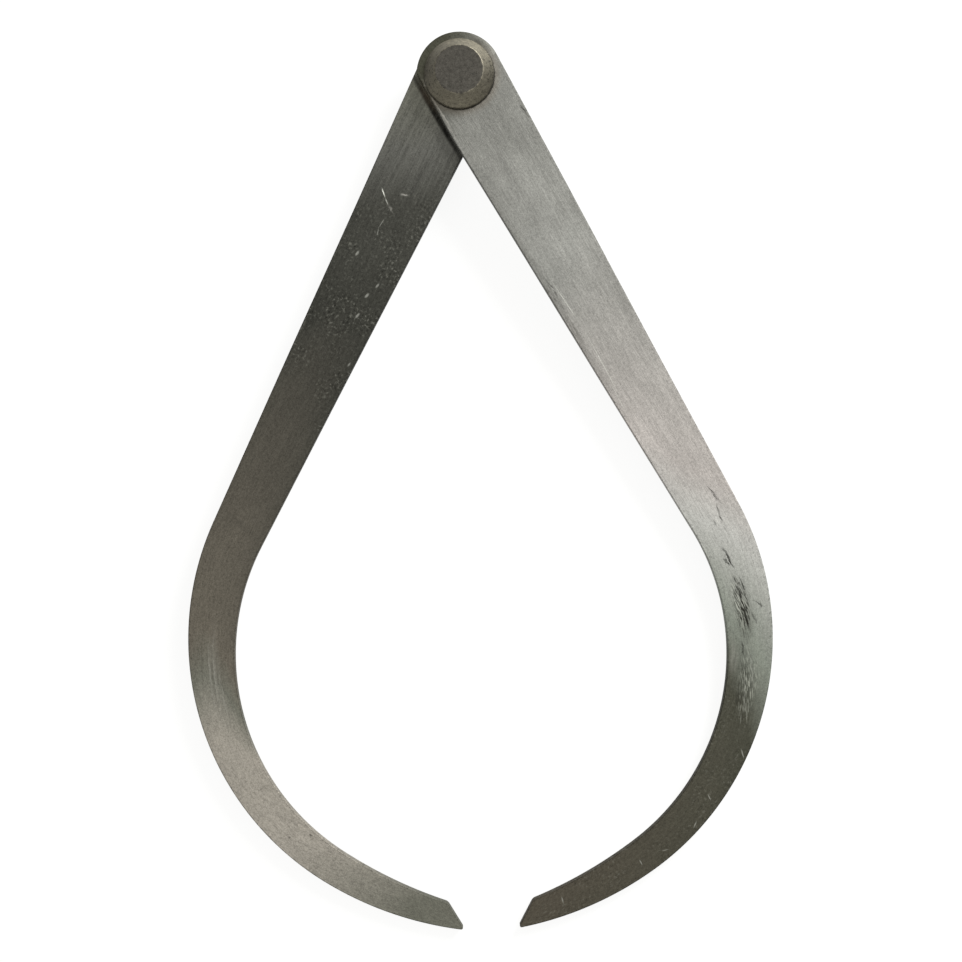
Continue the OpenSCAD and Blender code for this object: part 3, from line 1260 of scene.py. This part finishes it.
@dataclass(frozen=True)
class LegFinish:
    """Brushed steel, its reflections painted into its colour, with cracks, stains and scratches.

    Attributes:
        tones: The metal's colour by distance from the joint, in millimetres, with the brushed
        steel's bright and dark reflections painted in.
        marks: The marks in the front, by kind. With more than about 45 of them the renderer
            runs out of room for the material and draws the leg black.
        lines: Where the brushing stands out in long lines.
        specks: Where the face carries specks.
        ripples: Where fine wavy lines cross the face.
        pits: How dark the pits near the edges are.
        lean: How far the tones come sooner on the outer side than in the middle, in millimetres
            for each millimetre across, by the joint and in the bow.
        bulge: How far they come later at the edges of the bow than in its middle, in
            millimetres for each square millimetre.
        streaks: How strongly the metal's noises show.
        start: The distance at which the row of tones starts.
        length: The length of the row of tones.
        fade: The length over which a zone begins and ends.
        bow_limits: The distances between which the lean goes over to that in the bow.
        cloud_shift: How far the broad clouds move the tones along the leg.
        thickness: The leg's thickness.
        front_limits: The shares of it between which the marks of the front begin.
        pit_limits: The distances from the outline at which the pits end and are thickest.
        corner_reach: How far from the outline the broken corner reaches.
        corner_shade: How much darker the corner is painted, a painted shade that dims the highlight of the
            broken edge.
        corner_rough: How much rougher it is.
        speck_patches: How strong the specks are everywhere, and how much stronger in patches.
        speck_tone: The colour of the light specks.
        wander_scale: How fine the noise is that bends the marks.
        wander_detail: How many finer layers it has.
        seat_r: Radius of what lies on the face, with two rings round it.
        seat_limits: The distances between which the rings begin.
        seat_rings: Width, amount and colour of each ring: a broad brownish one, and a thin
            near-black one that is painted contact shadow.
        seat_waver: How uneven the rings are.
        relief: How deep the relief is, in metres.
    """

    slot: str
    tones: tuple[tuple[float, Colour], ...]
    marks: dict[Mark, tuple[Stroke, ...]]
    lines: Zone = Zone()
    specks: Zone = Zone()
    ripples: Zone = Zone()
    pits: float = 0.3
    lean: Pair = (0.0, 0.0)
    bulge: float = 0.0
    streaks: float = 0.9
    start: float = -12.0
    length: float = 262.0
    fade: float = 12.0
    bow_limits: Pair = (40.0, 100.0)
    cloud_shift: float = 10.0
    thickness: float = 2.2
    front_limits: Pair = (0.7, 0.95)
    pit_limits: Pair = (2.6, 0.2)
    corner_reach: float = 0.2
    corner_shade: float = 0.28
    corner_rough: float = 0.35
    speck_patches: Pair = (0.4, 1.1)
    speck_tone: Colour = seen(150, 150, 140)
    wander_scale: float = 0.9
    wander_detail: float = 3.0
    seat_r: float = 8.3
    seat_limits: Pair = (-7.0, 3.0)
    seat_rings: tuple[tuple[float, float, Colour], ...] = (
        (2.4, 0.35, seen(104, 92, 76)),
        # painted contact shadow at the edge of what lies on the face
        (0.4, 0.85, Mark.PAINTED_SHADOW.value.colour),
    )
    seat_waver: float = 0.5
    roughness: float = 0.42
    relief: float = 2.4e-5

    def share(self, distance: float) -> float:
        """A distance from the joint as a share of the row of tones."""
        return (distance - self.start) / self.length

    def zone(self, place: Wire, zone: Zone) -> Wire:
        """Shows a stretch of the leg, with soft ends.

        Args:
            place: The place along the leg, as a share of the row of tones.
            zone: The stretch.

        Returns:
            Its amount within it, and 0 outside it.
        """
        first, last, fade = self.share(zone.first), self.share(zone.last), self.fade / self.length
        return place.step(first, first + fade) * place.step(last, last - fade) * zone.amount

    def place(self, distance: Wire, across: Wire, cloud: Wire) -> Wire:
        """The place whose tone a point has: its distance, moved by the clouds, lean and bulge.

        Args:
            distance: Distance along the leg.
            across: Distance across the leg.
            cloud: The broad clouds.

        Returns:
            The place as a share of the row of tones.
        """
        near, far = self.lean
        bow = distance.step(*self.bow_limits)
        place = distance + (cloud - 0.5) * self.cloud_shift + across * (bow * (far - near) + near)
        place = place - across * across * bow * self.bulge
        return (place - self.start) * (1 / self.length)

    def masks(
        self, g: Surface, distance: Wire, across: Wire, wander: bpy.types.NodeSocket
    ) -> dict[Mark, Wire]:
        """Adds every stroke as an ellipse drawn out along its line.

        Args:
            g: The material's nodes.
            distance: Distance along the leg.
            across: Distance across the leg.
            wander: A noise colour that bends the strokes.

        Returns:
            How fully each kind of mark shows.
        """
        flat = g.vector(distance, across, 0.0)
        masks: dict[Mark, Wire] = {}
        for mark, strokes in self.marks.items():
            look = mark.value
            values = {0: wander, 1: (look.wander, look.wander, 0.0), 2: flat}
            bent = g.node("ShaderNodeVectorMath", {"operation": "MULTIPLY_ADD"}, values).outputs[0]
            values = {0: bent, 1: (-look.wander / 2, -look.wander / 2, 0.0)}
            place = g.node("ShaderNodeVectorMath", {"operation": "ADD"}, values).outputs[0]
            for stroke in strokes:
                run = np.subtract(stroke.end, stroke.start)
                half_length = float(np.hypot(*run)) / 2 + stroke.half_width
                values = {
                    "Vector": place,
                    "Location": (*np.add(stroke.end, stroke.start) / 2, 0.0),
                    "Rotation": (0.0, 0.0, math.atan2(run[1], run[0])),
                    "Scale": (half_length, stroke.half_width, 1.0),
                }
                own = g.node("ShaderNodeMapping", {"vector_type": "TEXTURE"}, values).outputs[0]
                reach = g.node("ShaderNodeVectorMath", {"operation": "LENGTH"}, {0: own})
                mask = Wire(g, reach.outputs["Value"]).step(1.0, look.sharpness) * stroke.strength
                if mark in masks:
                    mask = mask.reckon("MAXIMUM", mask, masks[mark])
                masks[mark] = mask
        return masks

    def seat_tint_and_shadow(
        self, g: Surface, tone: bpy.types.NodeSocket, distance: Wire, across: Wire, grit: Wire
    ) -> bpy.types.NodeSocket:
        """Lays a broad brownish ring, and a thin near-black ring of painted contact shadow, round what
        lies on the face.

        Args:
            g: The material's nodes.
            tone: The colour so far.
            distance: Distance along the leg.
            across: Distance across the leg.
            grit: The noise that makes the rings uneven.

        Returns:
            The colour with the rings.
        """
        radius = (distance * distance + across * across).root() + (grit - 0.5) * self.seat_waver
        begun = distance.step(*self.seat_limits)
        for width, amount, colour in self.seat_rings:
            ring = radius.step(self.seat_r + width, self.seat_r)
            tone = g.mix(ring * begun * amount, tone, colour)
        return tone

    def material(self) -> bpy.types.Material:
        """Builds the material.

        The tone, whose bright and dark stretches are painted reflections, is looked up by the place
        along the leg and multiplied by the shade, which is 1 plus the metal's noises about their
        mean. Specks, marks, among them painted shadow and painted sheen, and the two rings round
        the seat, one of them painted contact shadow, are mixed over it.

        Returns:
            The material, named after its slot.
        """
        g = Surface(self.slot)
        run = g.attribute("run", "Vector")
        rim = Wire(g, g.attribute("rim", "Fac"))
        distance, across, depth = g.split(run)
        noise, spots = functools.partial(g.metal, run), functools.partial(g.spots, run)
        values = {"Vector": run, "Scale": self.wander_scale, "Detail": self.wander_detail}
        wander = g.node("ShaderNodeTexNoise", {}, values).outputs["Color"]

        place = self.place(distance, across, noise(Metal.CLOUD))
        stops = [(self.share(spot), colour) for spot, colour in self.tones]
        tone = g.node("ShaderNodeValToRGB", {"stops": stops}, {"Fac": place}).outputs[0]
        shade = g.blend(run, TONE_NOISES, 0.0) * self.streaks + 1.0
        if self.lines.amount:
            shade = shade + (noise(Metal.LINES) - 0.5) * self.zone(place, self.lines) * 2.0
        if self.ripples.amount:
            shade = shade - spots(Metal.RIPPLES) * self.zone(place, self.ripples)
        pit = spots(Metal.PITS) * rim.step(*self.pit_limits)
        # Painted shade: the broken edges are darkened, which dims their highlight.
        corner = rim.step(self.corner_reach, 0.0)
        shade = shade - pit * self.pits - corner * self.corner_shade
        if self.specks.amount:
            few, more = self.speck_patches
            speckled = self.zone(place, self.specks) * (spots(Metal.PATCHES) * more + few)
            shade = shade - spots(Metal.DARK_SPECKS) * speckled
        tone = g.shaded(tone, shade)
        if self.specks.amount:
            tone = g.mix(spots(Metal.LIGHT_SPECKS) * speckled, tone, self.speck_tone)

        front = depth.step(*(self.thickness * share for share in self.front_limits))
        relief = g.blend(run, RELIEF_NOISES, 0.0)
        for mark, mask in self.masks(g, distance, across, wander).items():
            look = mark.value
            broken = noise(look.grain).step(*look.limits)
            mask = mask * front * (broken * look.gaps + (1 - look.gaps))
            tone = g.mix(mask, tone, look.colour)
            if look.relief:
                relief = relief + mask * look.relief
        tone = self.seat_tint_and_shadow(g, tone, distance, across, noise(Metal.GRIT))
        rough = g.blend(run, ROUGH_NOISES, self.roughness) + corner * self.corner_rough
        return g.finish(tone, rough, relief, self.relief)


@dataclass(frozen=True)
class TurnedFinish:
    """Turned metal with rings about the joint axis.

    Attributes:
        face: The colour inside the radius face_r.
        bevel: The colour outside it.
        face_r: That radius.
        mottle: How much the metal is mottled.
        painted_highlight: How much lighter the bevel is painted along one line than across it,
        a painted highlight that stands in for the highlights of its turned rings, and the line's
        direction in degrees from +X.
        dirt: How dark the dirt in the bevel is.
        relief: How deep the relief is, in metres.
        face_fade: Half the width over which the face's colour goes over to the bevel's.
        face_waver: How far the mottle moves the line between them.
        ring_tone: How strongly the rings show in the tone of the bevel.
    """

    slot: str
    face: Colour
    bevel: Colour
    face_r: float
    mottle: float = 1.0
    painted_highlight: Pair = (0.0, 90.0)
    dirt: float = 0.35
    roughness: float = 0.45
    relief: float = 1.4e-5
    face_fade: float = 0.15
    face_waver: float = 0.8
    ring_tone: float = 0.3

    def material(self) -> bpy.types.Material:
        """Builds the material.

        Rings are noise of the distance from the joint axis. The painted highlight is twice the
        squared distance along its line, less the squared distance from the axis.

        Returns:
            The material, named after its slot.
        """
        g = Surface(self.slot)
        run = g.attribute("run", "Vector")
        x, y, z = g.split(run)
        square = x * x + y * y
        radius = square.root()
        rings = g.metal(g.vector(radius, z, 0.0), TurnedMetal.RINGS)
        mottle = g.metal(run, TurnedMetal.MOTTLE)
        limits = (self.face_r - self.face_fade, self.face_r + self.face_fade)
        rim = (radius + (mottle - 0.5) * self.face_waver).step(*limits)
        dirt = g.spots(run, TurnedMetal.DIRT) * rim
        tone = g.mix(rim, self.face, self.bevel)
        shade = g.blend(run, TURNED_TONE_NOISES, 0.0) + (rings - 0.5) * rim * self.ring_tone
        shade = shade * self.mottle + 1.0
        amount, direction = self.painted_highlight
        if amount:
            a = math.radians(direction)
            # Painted highlight: the bevel lighter towards both ends of one line and darker across it.
            highlight_lobes = (x * math.cos(a) + y * math.sin(a)) ** 2.0 * 2.0 - square
            shade = shade * (highlight_lobes * rim * (amount / self.face_r**2) + 1.0)
        tone = g.shaded(tone, shade - dirt * self.dirt)
        rough = g.blend(run, TURNED_ROUGH_NOISES, self.roughness)
        relief = g.blend(run, TURNED_RELIEF_NOISES, 0.0) + rings
        return g.finish(tone, rough, relief, self.relief)


@dataclass
class Studio:
    """The camera of the picture, a pale floor and soft light.

    Attributes:
        front_z: Height of the front face of the front leg.
        tip_y: Y of the tips.
        tip_z: Height of the backs of the tips.
        nut_r: How far from the joint axis the nut touches the floor.
        camera_height: Height of the camera above the front face of the front leg.
        view_width: What the picture takes in across that face.
        sensor: Width of the camera's sensor.
        roll: How far the caliper is turned in the picture, in degrees.
        centre: The middle of the picture from the joint axis, to the right and upwards.
        floor_size: Length of a side of the floor.
        glow_colour: What the floor shows to the camera and in reflections.
        glow_share: How much of that it shows. The rest takes the shadow.
        key_bearing: Direction of the key light in the picture, in degrees from the right.
        key_elevation: Its angle above the floor.
        key_distance: Its distance from the middle of the picture.
        key_size: Length of its side.
        key_power: Its power in watts.
        world_colour: Colour of the even light.
        world_light: Strength of the even light.
    """

    front_z: float
    tip_y: float
    tip_z: float
    nut_r: float
    camera_height: float = 330.0
    view_width: float = 225.4
    sensor: float = 36.0
    roll: float = 2.167
    centre: Pair = (5.125, -95.35)
    floor_size: float = 6000.0
    floor_colour: Colour = (0.9, 0.9, 0.89)
    floor_rough: float = 0.9
    glow_colour: Colour = (1.0, 1.0, 0.995)
    glow_share: float = 0.9
    key_bearing: float = 50.0
    key_elevation: float = 26.0
    key_distance: float = 620.0
    key_size: float = 260.0
    key_power: float = 8.0
    world_colour: Colour = (1.0, 0.99, 0.97)
    world_light: float = 0.9

    def axes(self) -> tuple[Vector, Vector]:
        """The directions of the picture's right and up."""
        r = math.radians(self.roll)
        return Vector((math.cos(r), -math.sin(r), 0)), Vector((math.sin(r), math.cos(r), 0))

    def middle(self) -> Vector:
        """The point of the front face in the middle of the picture."""
        right, up = self.axes()
        return (right * self.centre[0] + up * self.centre[1] + Vector((0, 0, self.front_z))) * MM

    def camera(self) -> None:
        """Sets the camera straight above the middle of the picture."""
        right, up = self.axes()
        data = bpy.data.cameras.new("camera")
        data.sensor_width = self.sensor
        data.lens = self.sensor * self.camera_height / self.view_width
        camera = bpy.data.objects.new("camera", data)
        turn = Matrix((right, up, Vector((0, 0, 1)))).transposed().to_4x4()
        stand = self.middle() + Vector((0, 0, self.camera_height * MM))
        camera.matrix_world = Matrix.Translation(stand) @ turn
        bpy.context.scene.collection.objects.link(camera)
        bpy.context.scene.camera = camera

    def floor(self) -> None:
        """Lays a floor that touches the nut and the tips, as a bench under the caliper does.

        It can be seen through from below, so that the back of the caliper shows in a view from
        there.
        """
        slope = self.tip_z / (-self.tip_y - self.nut_r)
        half = self.floor_size / 2
        corners = np.array([[-half, -half], [half, -half], [half, half], [-half, half]])
        heights = (-corners[:, 1] - self.nut_r) * slope
        mesh = bpy.data.meshes.new("floor")
        mesh.from_pydata(np.column_stack([corners, heights]) * MM, [], [(0, 1, 2, 3)])
        g = Surface("floor_white")
        g.shader.inputs["Base Color"].default_value = (*self.floor_colour, 1.0)
        g.shader.inputs["Roughness"].default_value = self.floor_rough
        g.shader.inputs["Specular IOR Level"].default_value = 0.0
        glow = g.node("ShaderNodeEmission", {}, {"Color": (*self.glow_colour, 1.0), "Strength": 1.0})
        path = g.node("ShaderNodeLightPath", {}, {}).outputs
        share = (Wire(g, path["Is Camera Ray"]) + Wire(g, path["Is Glossy Ray"])) * self.glow_share
        top = g.node("ShaderNodeMixShader", {}, {0: share, 1: g.shader.outputs[0], 2: glow.outputs[0]})
        under = g.node("ShaderNodeBsdfTransparent", {}, {})
        backs = g.node("ShaderNodeNewGeometry", {}, {}).outputs["Backfacing"]
        both = g.node("ShaderNodeMixShader", {}, {0: backs, 1: top.outputs[0], 2: under.outputs[0]})
        g.tree.links.new(both.outputs[0], g.output.inputs["Surface"])
        mesh.materials.append(g.material)
        floor = bpy.data.objects.new("floor", mesh)
        bpy.context.scene.collection.objects.link(floor)

    def lights(self) -> None:
        """Sets a soft key light at the upper right and an even light all round.

        The camera sees a white background in place of the even light.
        """
        right, up = self.axes()
        a, e = math.radians(self.key_bearing), math.radians(self.key_elevation)
        towards = (right * math.cos(a) + up * math.sin(a)) * math.cos(e) + Vector((0, 0, math.sin(e)))
        data = bpy.data.lights.new("key", "AREA")
        data.shape = "SQUARE"
        data.size = self.key_size * MM
        data.energy = self.key_power
        light = bpy.data.objects.new("key", data)
        aim = towards.to_track_quat("Z", "Y").to_matrix().to_4x4()
        stand = self.middle() + towards * self.key_distance * MM
        light.matrix_world = Matrix.Translation(stand) @ aim
        bpy.context.scene.collection.objects.link(light)
        world = bpy.data.worlds.new("studio")
        world.use_nodes = True
        g = Graph(world.node_tree)
        values = {"Color": (*self.world_colour, 1.0), "Strength": self.world_light}
        even = g.node("ShaderNodeBackground", {}, values).outputs[0]
        values = {"Color": (1.0, 1.0, 1.0, 1.0), "Strength": 1.0}
        white = g.node("ShaderNodeBackground", {}, values).outputs[0]
        camera_ray = g.node("ShaderNodeLightPath", {}, {}).outputs["Is Camera Ray"]
        both = g.node("ShaderNodeMixShader", {}, {0: camera_ray, 1: even, 2: white})
        g.node("ShaderNodeOutputWorld", {}, {"Surface": both.outputs[0]})
        bpy.context.scene.world = world


FRONT_FINISH = LegFinish(
    slot="front_leg_steel",
    lean=(0.5, -1.5),
    pits=0.2,
    specks=Zone(160, 250, 0.13),
    # Painted reflections: bright along the straight, dark round the end and in the lower bow.
    tones=(
        (-9, seen(70, 70, 60)),
        (8, seen(120, 120, 115)),
        (50, seen(140, 140, 135)),
        (105, seen(175, 170, 165)),
        (125, seen(175, 175, 170)),
        (150, seen(135, 140, 130)),
        (168, seen(75, 75, 65)),
        (241, seen(85, 80, 70)),
    ),
    marks={
        Mark.STAIN: (
            Stroke((14, -9.4), (96, -6.4), 1.8, 0.4),
            Stroke((46, -8.0), (74, -6.6), 1.2, 0.8),
            Stroke((13, 8.6), (18, 9.0), 0.4, 0.7),
            Stroke((136, -1.2), (152, -0.8), 3.0, 0.5),
            Stroke((-6.0, 6.8), (-1.5, 9.0), 1.3, 0.6),
        ),
        Mark.CRACK: (
            Stroke((13.6, 8.3), (15.8, 9.0), 0.35, 0.7),
            Stroke((112.6, 1.9), (117.8, 2.7), 0.3, 0.8),
            Stroke((117.3, 1.7), (122.0, 0.8), 0.34, 0.8),
            Stroke((120.3, -0.9), (122.3, -0.9), 0.3, 0.5),
            Stroke((126.7, -2.0), (133.4, -0.9), 0.42, 0.95),
            Stroke((134.4, -1.6), (137.5, -1.0), 0.4, 0.9),
            Stroke((135.0, -0.4), (139.5, 0.3), 0.3, 0.8),
            Stroke((136.5, -1.9), (140.5, -1.2), 0.36, 0.8),
            Stroke((138.5, -0.2), (142.4, 0.3), 0.32, 0.8),
            Stroke((129.8, -2.6), (131.9, -1.8), 0.4, 0.9),
            Stroke((137.2, -1.4), (142.7, -0.8), 0.4, 0.95),
            Stroke((142.2, -2.0), (144.1, 0.1), 0.5, 0.8),
            Stroke((144.4, -1.2), (147.0, -0.2), 0.9, 0.95),
            Stroke((141.4, 1.6), (143.3, 3.7), 0.26, 0.7),
            Stroke((141.8, 3.4), (143.8, 3.1), 0.24, 0.6),
            Stroke((144.1, 0.9), (146.6, 1.8), 0.6, 0.5),
            Stroke((150.2, -2.0), (154.2, -1.7), 0.3, 0.7),
        ),
        Mark.PAINTED_SHEEN: (
            Stroke((150, -4.0), (159, -3.8), 1.3, 0.3),
            # painted highlight along the lit inner edge of the front leg, by the joint
            Stroke((-6.0, -8.0), (17.5, -8.95), 0.35, 0.8),
        ),
        Mark.SCRATCH: (
            Stroke((51.2, -6.0), (66.3, -4.9), 0.15, 0.4),
            Stroke((66.0, -4.9), (86.2, -5.4), 0.15, 0.5),
            Stroke((78.3, -5.8), (90.0, -6.1), 0.15, 0.4),
            Stroke((152, -0.4), (163, 1.8), 0.16, 0.3),
            Stroke((156, -1.4), (169, 0.6), 0.16, 0.3),
            Stroke((175.8, 2.6), (177.9, 4.3), 0.18, 0.5),
            Stroke((188.5, 0.7), (189.4, 2.2), 0.18, 0.5),
            Stroke((195.0, 2.5), (196.7, 3.1), 0.18, 0.4),
            Stroke((205.4, 1.7), (203.9, 2.5), 0.16, 0.35),
            Stroke((210.7, 0.0), (210.8, 1.5), 0.18, 0.45),
            Stroke((231.8, -1.5), (231.0, 0.7), 0.18, 0.4),
        ),
        Mark.CRAZE: (
            Stroke((50.4, -6.8), (59.8, -7.0), 1.0, 0.6),
            Stroke((135.0, -1.5), (150.5, -1.0), 2.8, 0.95),
            Stroke((152.0, -1.2), (171.0, 0.0), 3.5, 0.55),
        ),
        Mark.GLINT: (
            Stroke((134.0, -2.2), (148.0, -1.4), 2.5, 0.6),
            Stroke((151.0, -0.2), (171.0, 0.8), 3.4, 0.4),
        ),
    },
)

REAR_FINISH = LegFinish(
    slot="rear_leg_steel",
    lean=(-0.5, 1.0),
    bulge=0.2,
    pits=0.15,
    streaks=1.1,
    lines=Zone(-12, 40, 0.5),
    specks=Zone(26, 84, 0.22),
    ripples=Zone(172, 222, 0.14),
    # Painted reflections: dark along the straight, bright in the lower bow.
    tones=(
        (0, seen(105, 105, 95)),
        (18, seen(95, 95, 90)),
        (34, seen(65, 65, 60)),
        (62, seen(60, 60, 55)),
        (145, seen(105, 100, 90)),
        (155, seen(115, 115, 105)),
        (172, seen(160, 155, 145)),
        (198, seen(165, 160, 150)),
        (230, seen(110, 110, 100)),
    ),
    marks={
        # Painted shadow: the dark band that the front leg casts on the rear leg beside the joint.
        Mark.PAINTED_SHADOW: (
            Stroke((0.2, 17.0), (20.6, -15.0), 1.0, 0.95),
        ),
        Mark.SCRATCH: (
            Stroke((31.4, 5.0), (33.4, 3.0), 0.18, 1.0),
            Stroke((33.3, 3.1), (34.6, 1.6), 0.16, 0.7),
            Stroke((37.6, 1.0), (40.4, 1.4), 0.15, 0.35),
            Stroke((40.3, 1.4), (42.4, 0.8), 0.15, 0.3),
            Stroke((47.5, 3.2), (48.5, 3.4), 0.4, 0.4),
            Stroke((52.2, -4.6), (53.2, -4.3), 0.35, 0.4),
            Stroke((55.4, -3.4), (56.4, -3.0), 0.4, 0.4),
            Stroke((60.6, -3.5), (61.7, -3.1), 0.4, 0.4),
            Stroke((71.8, -6.7), (72.8, -6.5), 0.3, 0.3),
        ),
        # painted sheen: lighter smudges by the scratches and lighter streaks in the bow
        Mark.PAINTED_SHEEN: (
            Stroke((34.3, 1.8), (35.7, -0.1), 0.5, 0.5),
            Stroke((31.1, 0.1), (30.1, -1.7), 0.35, 0.6),
            Stroke((140, -0.6), (170, -0.6), 1.8, 0.16),
            Stroke((144, 0.6), (168, 0.9), 0.35, 0.4),
            Stroke((148, -1.6), (170, -1.8), 0.3, 0.4),
            Stroke((141, -0.5), (163, -0.3), 0.2, 0.45),
        ),
        Mark.STAIN: (
            Stroke((146, -0.1), (168, 0.2), 0.3, 0.5),
            Stroke((142, 2.2), (160, 2.6), 0.4, 0.4),
            Stroke((116.0, 6.0), (119.0, -6.0), 1.4, 0.3),
        ),
        Mark.CRACK: (
            Stroke((196.7, 0.8), (197.1, 0.8), 0.3, 0.6),
            Stroke((200.0, -3.2), (200.4, -3.2), 0.3, 0.6),
        ),
    },
)

DARK_STEEL = TurnedFinish(
    slot="dark_steel",
    face=seen(67, 65, 60),
    bevel=seen(104, 100, 88),
    face_r=5.6,
    mottle=1.8,
    # painted highlight: the bevel lighter above and below the axis, darker to its sides
    painted_highlight=(0.25, 84.0),
    roughness=0.55,
)
BRASS = TurnedFinish(
    slot="washer_brass",
    face=seen(176, 148, 96),
    bevel=seen(168, 140, 90),
    face_r=7.0,
    mottle=0.5,
    roughness=0.35,
)
NUT_STEEL = TurnedFinish(
    slot="nut_steel",
    face=seen(140, 136, 126),
    bevel=seen(150, 147, 138),
    face_r=4.6,
    mottle=0.7,
    roughness=0.4,
)


def main() -> None:
    """Builds the caliper round the frame, then the studio."""
    logging.basicConfig(level=logging.INFO, format="%(name)s: %(message)s")
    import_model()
    bpy.context.scene.view_settings.view_transform = "Standard"

    front_low, front_high = (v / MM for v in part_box("front_leg"))
    rear_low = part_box("rear_leg")[0] / MM
    shape = LegShape()
    bow_z = front_low.z
    front_leg = Leg(
        "front_leg", "front", Side.RIGHT, Hole.SQUARE, SQUARE_HALF_WIDTH, FRONT_FINISH, shape
    )
    rear_leg = Leg("rear_leg", "rear", Side.LEFT, Hole.ROUND, ROUND_HOLE_R, REAR_FINISH, shape)
    pieces = [
        front_leg.build(joint_z=front_high.z - shape.thickness, bow_z=bow_z),
        rear_leg.build(joint_z=rear_low.z, bow_z=bow_z),
    ]
    turn = shape.rest_half_angle
    turned = (
        Stud("joint_stud", "front", DARK_STEEL, turn),
        Washer("leg_washer", "front", BRASS, turn, z=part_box("leg_washer")[0].z / MM),
        Washer("rear_friction_washer", "front", BRASS, turn, z=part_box("rear_friction_washer")[0].z / MM),
        Plate("rear_plate", "front", DARK_STEEL, turn),
        Nut("joint_nut", "front", NUT_STEEL, turn),
    )
    pieces += [part.build() for part in turned]
    for piece in pieces:
        LOG.info("%s: %d faces", piece.name, len(piece.data.polygons))

    studio = Studio(front_z=front_high.z, tip_y=front_low.y, tip_z=bow_z, nut_r=NUT_FACE_R)
    studio.camera()
    studio.floor()
    studio.lights()


if __name__ == "__main__":
    main()
